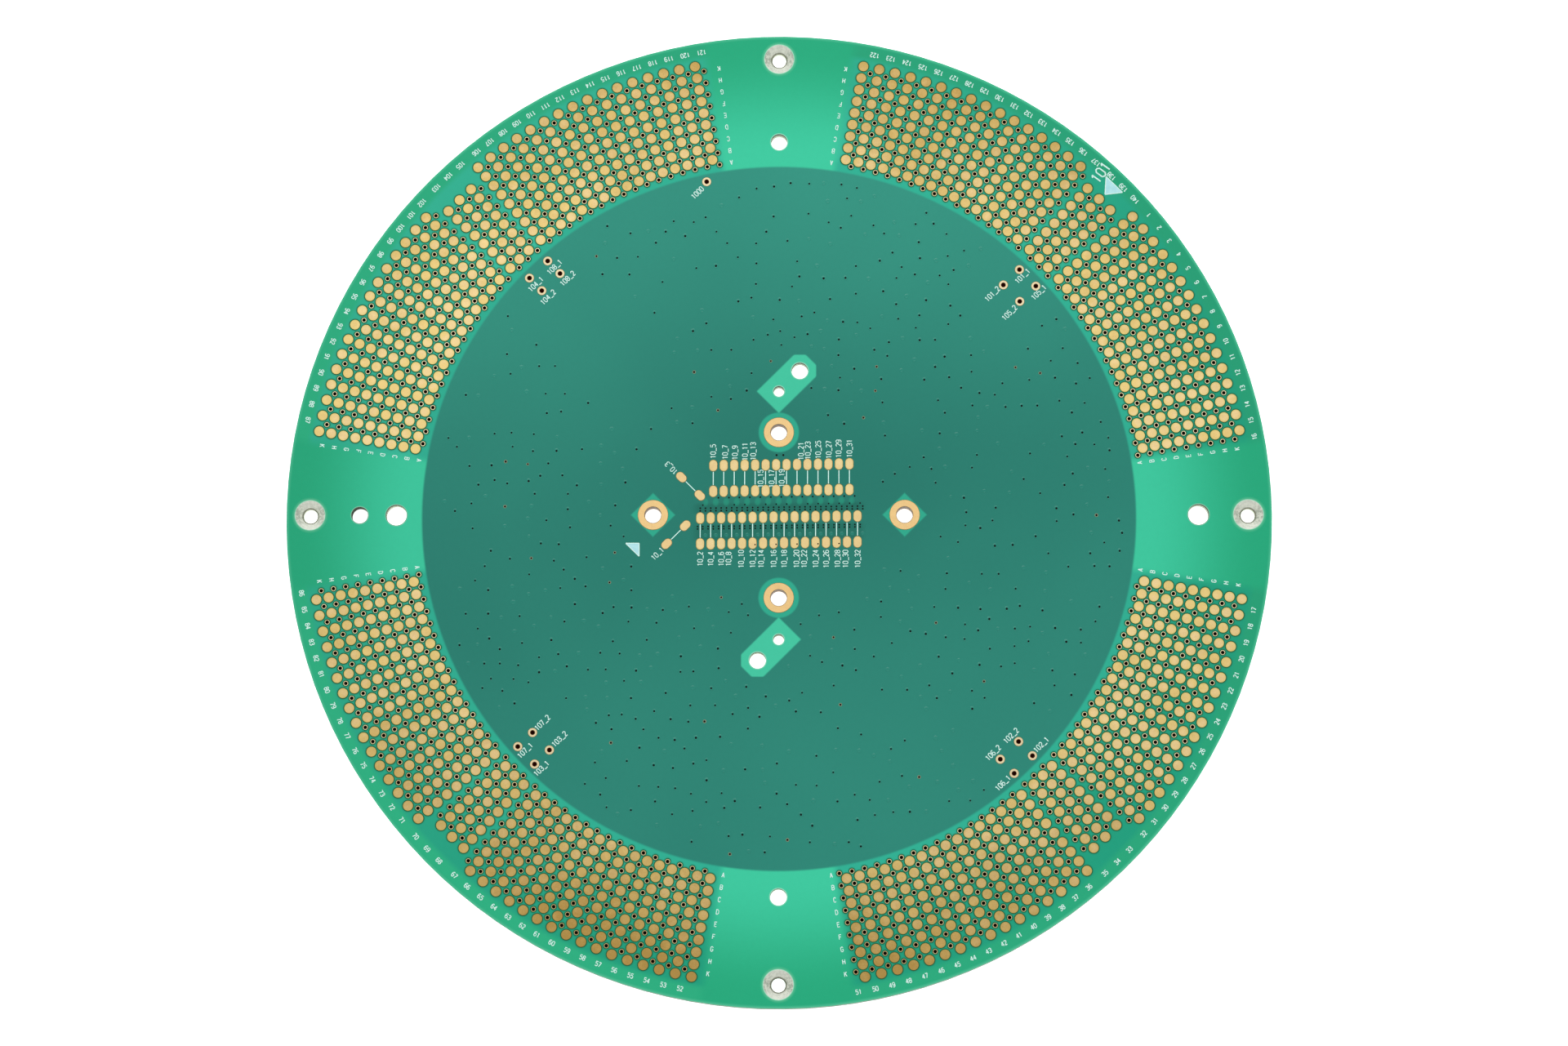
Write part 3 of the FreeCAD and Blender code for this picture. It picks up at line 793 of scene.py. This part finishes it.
def is_free(across, along):
    """Whether a via may stand here: inside the planes and clear of all else on them."""
    reach = math.hypot(across, along)
    if reach > CLEAR_REACH or (-34 < across < 25 and abs(along) < 20):
        return False
    if any(math.hypot(across - cx, along - cy) < clear for cx, cy, clear in KEEP_OUT):
        return False
    side = 1 if along > 0 else -1
    slant = (across * side + abs(along) - PIN_REACH) * math.sqrt(0.5)
    off = abs(abs(along) - PIN_REACH - across * side) * math.sqrt(0.5)
    if -5 < slant < 12.5 and off < 5:
        return False
    if reach > 68 and abs(abs(math.degrees(math.atan2(along, across))) % 90 - 45) < 8:
        return False
    return all(math.hypot(across - px, along - py) > CLEAR_SPACING for px, py in scattered)


for _ in range(RUNS):
    across, along = scatter.uniform(-84, 84), scatter.uniform(-84, 84)
    crowding = CROWDING[across > 0, along >= 0]
    if len(scattered) >= MOST_SCATTERED or scatter.random() > crowding:
        continue
    heading = math.radians(scatter.choice((0, 0, 30, 60, 90, 135)) + scatter.uniform(-6, 6))
    pitch = scatter.uniform(3.6, 6.2)
    for step in range(scatter.randint(1, 5)):
        if is_free(across, along):
            scattered.append((across, along))
        across += pitch * math.cos(heading) + scatter.uniform(-0.5, 0.5)
        along += pitch * math.sin(heading) + scatter.uniform(-0.5, 0.5)
for across, along in scattered:
    kind = scatter.random()
    here = spot(across, along, 0, scatter.uniform(0.85, 1.1))
    if kind < OPEN_SHARE:
        open_places.append(here)
    elif kind < OPEN_SHARE + CLOSED_SHARE:
        closed_places.append(here)
    else:
        ringed_places.append(here)
for name, model, places in (
    ("plane_vias", plain_dot, plain_places), ("open_mounds", open_mound, open_places),
    ("closed_mounds", closed_mound, closed_places), ("ringed_vias", ringed_dot, ringed_places),
    ("link_pad_vias", pad_dot, pad_places),
):
    vias = set_out(name, model, places)
    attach(vias, "root")
    bpy.data.objects.remove(model)


# ---------------------------------------------------------------- Printed index marks
# Numbers, row letters, link lines and pointers are screen-printed in a pale epoxy ink with a
# plotter's single-stroke letters. The ink is a few hundredths thick and slightly rough.
INK_SETTINGS = {"Roughness": 0.55, "Specular IOR Level": 0.3}
ink = mottled_finish(
    "legend_ink", INK_SETTINGS, paint(202, 244, 233), paint(224, 252, 244),
    1800, detail=3, roughness=0.6, span=(0.3, 0.7), grain=0.3)
thin_ink = mottled_finish(
    "thin_ink", INK_SETTINGS, paint(166, 216, 222), paint(178, 226, 230),
    700, detail=3, roughness=0.6, span=(0.3, 0.7))

# Strokes of each character on a grid three wide and six high, with room beside it
STROKES = {
    "0": [[(1, 0), (0, 1), (0, 5), (1, 6), (2, 6), (3, 5), (3, 1), (2, 0), (1, 0)]],
    "1": [[(0.5, 4.8), (1.6, 5.9)], [(1.6, 6), (1.6, 0)]],
    "2": [[(0, 5), (1, 6), (2, 6), (3, 5), (3, 4), (0, 0)], [(0, 0), (3, 0)]],
    "3": [[(0, 5.2), (1, 6), (2, 6), (3, 5), (3, 4.1), (2, 3.2), (1, 3.2)],
          [(2, 3.2), (3, 2.3), (3, 1), (2, 0), (1, 0), (0, 0.8)]],
    "4": [[(2.3, 0), (2.3, 6)], [(2.3, 6), (0, 1.8)], [(0, 1.8), (3.2, 1.8)]],
    "5": [[(2.9, 6), (0.3, 6), (0.1, 3.3), (1, 3.8), (2, 3.8), (3, 2.8), (3, 1), (2, 0), (1, 0),
           (0, 0.8)]],
    "6": [[(2.7, 5.4), (2, 6), (1, 6), (0, 4.8), (0, 1), (1, 0), (2, 0), (3, 1), (3, 2.5),
           (2, 3.5), (1, 3.5), (0, 2.5)]],
    "7": [[(0, 6), (3, 6)], [(3, 6), (1, 0)]],
    "8": [[(1, 3.2), (0, 4), (0, 5), (1, 6), (2, 6), (3, 5), (3, 4), (2, 3.2), (1, 3.2),
           (0, 2.3), (0, 1), (1, 0), (2, 0), (3, 1), (3, 2.3), (2, 3.2)]],
    "9": [[(0.3, 0.6), (1, 0), (2, 0), (3, 1.2), (3, 5), (2, 6), (1, 6), (0, 5), (0, 3.5),
           (1, 2.5), (2, 2.5), (3, 3.5)]],
    "A": [[(0, 0), (1.5, 6)], [(1.5, 6), (3, 0)], [(0.5, 2), (2.5, 2)]],
    "B": [[(0, 0), (0, 6), (2, 6), (3, 5.2), (3, 4), (2, 3.2), (0, 3.2)],
          [(2, 3.2), (3, 2.3), (3, 0.9), (2, 0), (0, 0)]],
    "C": [[(3, 4.9), (2, 6), (1, 6), (0, 5), (0, 1), (1, 0), (2, 0), (3, 1.1)]],
    "D": [[(0, 0), (0, 6), (1.6, 6), (3, 4.6), (3, 1.4), (1.6, 0), (0, 0)]],
    "E": [[(3, 0), (0, 0), (0, 6), (3, 6)], [(0, 3.2), (2.4, 3.2)]],
    "F": [[(0, 0), (0, 6), (3, 6)], [(0, 3.2), (2.4, 3.2)]],
    "G": [[(3, 4.9), (2, 6), (1, 6), (0, 5), (0, 1), (1, 0), (2, 0), (3, 1), (3, 2.8),
           (1.7, 2.8)]],
    "H": [[(0, 0), (0, 6)], [(3, 0), (3, 6)], [(0, 3.1), (3, 3.1)]],
    "K": [[(0, 0), (0, 6)], [(3, 6), (0, 2.4)], [(1.1, 3.7), (3, 0)]],
    "_": [[(-0.3, -0.7), (3.5, -0.7)]],
}
GLYPH_WIDTH, GLYPH_HEIGHT, ADVANCE = 3, 6, 4.3
INK_LEVEL, INK_FLATNESS = FRONT + 0.002, 0.2


def draw_lines(name, lines, stroke):
    """Draws lines with one pen and makes them a thin printed piece on the front face."""
    pen = bpy.data.curves.new(name, "CURVE")
    pen.dimensions = "3D"
    pen.bevel_depth = stroke / 2 * MM
    pen.bevel_resolution = 0
    pen.use_fill_caps = True
    for line in lines:
        spline = pen.splines.new("POLY")
        spline.points.add(len(line) - 1)
        for point, (across, along) in zip(spline.points, line):
            point.co = (across * MM, along * MM, 0, 1)
    start_piece()
    drawing = bpy.data.objects.new(name, pen)
    bpy.context.collection.objects.link(drawing)
    drawing.select_set(True)
    bpy.context.view_layer.objects.active = drawing
    bpy.ops.object.convert(target="MESH")
    piece = bpy.context.object
    piece.data.transform(Matrix.Translation((0, 0, INK_LEVEL * MM))
                         @ Matrix.Diagonal((1, 1, INK_FLATNESS, 1)))
    piece.data.materials.append(ink)
    piece.name = piece.data.name = name
    return piece


def print_words(name, words, stroke):
    """Prints words: each has its text, its middle, its direction and its letter height."""
    lines = []
    for text, middle, turn, height in words:
        turned = Matrix.Rotation(math.radians(turn), 2)
        start = -((len(text) - 1) * ADVANCE + GLYPH_WIDTH) / 2
        for number, character in enumerate(text):
            left = start + number * ADVANCE
            for line in STROKES[character]:
                lines.append([
                    Vector(middle) + turned @ Vector((left + right, up - GLYPH_HEIGHT / 2))
                    * (height / GLYPH_HEIGHT) for right, up in line])
    return draw_lines(name, lines, stroke)


# Column numbers run clockwise round the rim from the upper right, each a little past its column
# and with its top to the centre
NUMBER_REACH, NUMBER_LAG, NUMBER_HEIGHT = 116.95, 1.08, 1.08
FIRST_NUMBER, LAST_NUMBER = 122, 140
words = []
number = FIRST_NUMBER
for diagonal in (45, -45, -135, -225):
    for column, _ in sorted(COLUMNS):
        angle = diagonal - column - NUMBER_LAG
        words.append((str(number), polar(NUMBER_REACH, angle), angle + 90, NUMBER_HEIGHT))
        number = number % LAST_NUMBER + 1
# Row letters stand beside both ends of each quarter's field, each a little inside its row
LETTER_ANGLES = (8.28, -8.82, 97.6, 81.65, 188.32, 171.22, 278.22, 261.41)
LETTER_INSET, LETTER_HEIGHT = 1.35, 1.1
for angle in LETTER_ANGLES:
    for row, letter in enumerate("ABCDEFGHK"):
        reach = INNER_ROW + row * ROW_PITCH - LETTER_INSET
        words.append((letter, polar(reach, angle), angle + 90, LETTER_HEIGHT))
numbers = print_words("column_numbers", words, stroke=0.24)

# Link numbers read upwards beside their pairs; some sit off their column to clear a via
LABEL_HEIGHT, LOWER_LABEL_ROW = 1.25, -10.8
UPPER_LABELS = {
    0: (-15.96, 15.65), 1: (-13.06, 15.45), 2: (-10.68, 15.32), 3: (-8.23, 15.57),
    4: (-6.25, 15.69), 5: (-4.43, 8.9), 6: (-1.75, 8.9), 7: (0.7, 9.02), 8: (5.35, 15.68),
    9: (7.03, 15.86), 10: (9.54, 16.05), 11: (12.11, 16.05), 12: (14.49, 16.3),
    13: (17.12, 16.35),
}
LOWER_SHIFTS = {3: -0.75, 4: -0.25, 6: -0.5, 9: 0.45, 10: -0.25, 13: 0.2, 14: -0.4}
words = []
for column, middle in UPPER_LABELS.items():
    words.append((f"10_{2 * column + 5}", middle, 90, LABEL_HEIGHT))
for column in range(LOWER_PAIRS):
    across, along = link_column("lower", column)
    middle = (across + LOWER_SHIFTS.get(column, 0), LOWER_LABEL_ROW)
    words.append((f"10_{2 * column + 2}", middle, 90, LABEL_HEIGHT))
words.append(("10_3", (-26.11, 11.56), 135, LABEL_HEIGHT))
words.append(("10_1", (-29.35, -9.51), 45, LABEL_HEIGHT))
labels = print_words("link_numbers", words, stroke=0.22)

# Test point numbers read up and to the right, and a larger number marks the first column
TEST_LABELS = {
    "108_1": (-54.86, 61.48), "108_2": (-51.64, 58.62), "104_1": (-59.41, 57.2),
    "104_2": (-56.39, 53.94), "101_1": (59.42, 59.06), "101_2": (52.02, 54.6),
    "105_1": (63.37, 54.99), "105_2": (56.17, 49.91), "102_2": (55.88, -53.88),
    "102_1": (63.12, -56.06), "106_2": (51.54, -58.03), "106_1": (53.85, -65.33),
    "107_2": (-56.88, -50.68), "103_2": (-52.71, -54.64), "107_1": (-60.95, -57.4),
    "103_1": (-56.98, -61.75), "1000": (-19.99, 80.03)}
words = [(text, middle, 45, LABEL_HEIGHT) for text, middle in TEST_LABELS.items()]
test_labels = print_words("test_point_numbers", words, stroke=0.25)
first_mark = print_words("first_column_mark", [("101", (78.75, 84.95), 53, 2.6)], stroke=0.4)
for piece in (numbers, labels, test_labels, first_mark):
    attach(piece, "root")

# Filled pointers: one at the first column, one at the first link pair
POINTER_BASE, POINTER_THICKNESS = 3.172, 0.024
for name, corners in (
    ("column_pointer", ((80.06, 83.9), (79.75, 79.44), (84.01, 79.94))),
    ("link_pointer", ((-37.03, -6.95), (-33.8, -10.13), (-33.82, -6.96))),
):
    start_piece()
    bpy.ops.mesh.primitive_circle_add(
        vertices=3, radius=1 * MM, fill_type="NGON", location=(0, 0, POINTER_BASE * MM))
    pointer = bpy.context.object
    pointer.name = pointer.data.name = name
    bpy.ops.object.transform_apply(location=True, rotation=True, scale=True)
    for vert, (across, along) in zip(pointer.data.vertices, corners):
        vert.co.x, vert.co.y = across * MM, along * MM
    pointer.data.materials.append(thin_ink)
    bpy.ops.object.mode_set(mode="EDIT")
    bpy.ops.mesh.select_all(action="SELECT")
    bpy.ops.mesh.extrude_region_move(
        TRANSFORM_OT_translate={"value": (0, 0, POINTER_THICKNESS * MM)})
    bpy.ops.mesh.select_all(action="SELECT")
    bpy.ops.mesh.normals_make_consistent(inside=False)
    bpy.ops.object.mode_set(mode="OBJECT")
    outline = draw_lines(f"{name}_outline", [
        (corners[side], corners[(side + 1) % 3]) for side in range(3)], stroke=0.3)
    for piece in (pointer, outline):
        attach(piece, "root")

# A line joins the two pads of every pair
link_line = model_land(
    "link_line", width=0.21, length=3.3, corners=10, base=3.17, top=3.194, material=ink)
places = []
for block, (count, _, _) in LINK_BLOCKS.items():
    places += [spot(*link_column(block, column)) for column in range(count)]
places += [spot(*pair) for pair in SLANT_PAIRS.values()]
lines = set_out("link_lines", link_line, places)
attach(lines, "root")
bpy.data.objects.remove(link_line)


# ---------------------------------------------------------------- Floor, light and camera
# The board lies on a white table that is lit evenly from above, and the photograph is taken
# from almost overhead with a long lens.
start_piece()
bpy.ops.mesh.primitive_plane_add(size=6.0, location=(0, 0, -0.0002))
floor = bpy.context.object
floor.name = "floor"
bpy.ops.object.transform_apply(location=True, rotation=True, scale=True)
TABLE_SETTINGS = {
    "Roughness": 0.9, "Specular IOR Level": 0.0, "Emission Strength": 0.9,
    "Emission Color": (1, 1, 1, 1)}
floor.data.materials.append(mottled_finish(
    "white_table", TABLE_SETTINGS, paint(245, 245, 245), paint(250, 250, 250), 6))

world = bpy.data.worlds.new("studio")
bpy.context.scene.world = world
world.use_nodes = True
sky = world.node_tree.nodes["Background"]
sky.inputs["Color"].default_value = (1, 1, 1, 1)
sky.inputs["Strength"].default_value = 0.75


def soft_light(name, across, along, up, width, depth, watts):
    """A large soft box that looks at the middle of the board."""
    light = bpy.data.lights.new(name, "AREA")
    light.shape = "RECTANGLE"
    light.size, light.size_y = width, depth
    light.energy = watts
    lamp = bpy.data.objects.new(name, light)
    bpy.context.collection.objects.link(lamp)
    lamp.location = (across, along, up)
    lamp.rotation_euler = (-lamp.location).to_track_quat("-Z", "Y").to_euler()


soft_light("key_light", across=-0.2, along=1.7, up=1.6, width=1.8, depth=1.2, watts=21)
soft_light("fill_light", across=0.7, along=-1.8, up=1.3, width=1.6, depth=1.2, watts=7)

lens = bpy.data.cameras.new("camera")
lens.sensor_width = 36
lens.lens = 115.241
lens.clip_start, lens.clip_end = 0.05, 20
camera = bpy.data.objects.new("camera", lens)
bpy.context.collection.objects.link(camera)
camera.location = (0.013846, -0.201790, 1.20210)
camera.rotation_euler = Euler((0.165122, 0.010353, 0.000817), "XYZ")
bpy.context.scene.camera = camera
bpy.context.scene.view_settings.view_transform = "Standard"
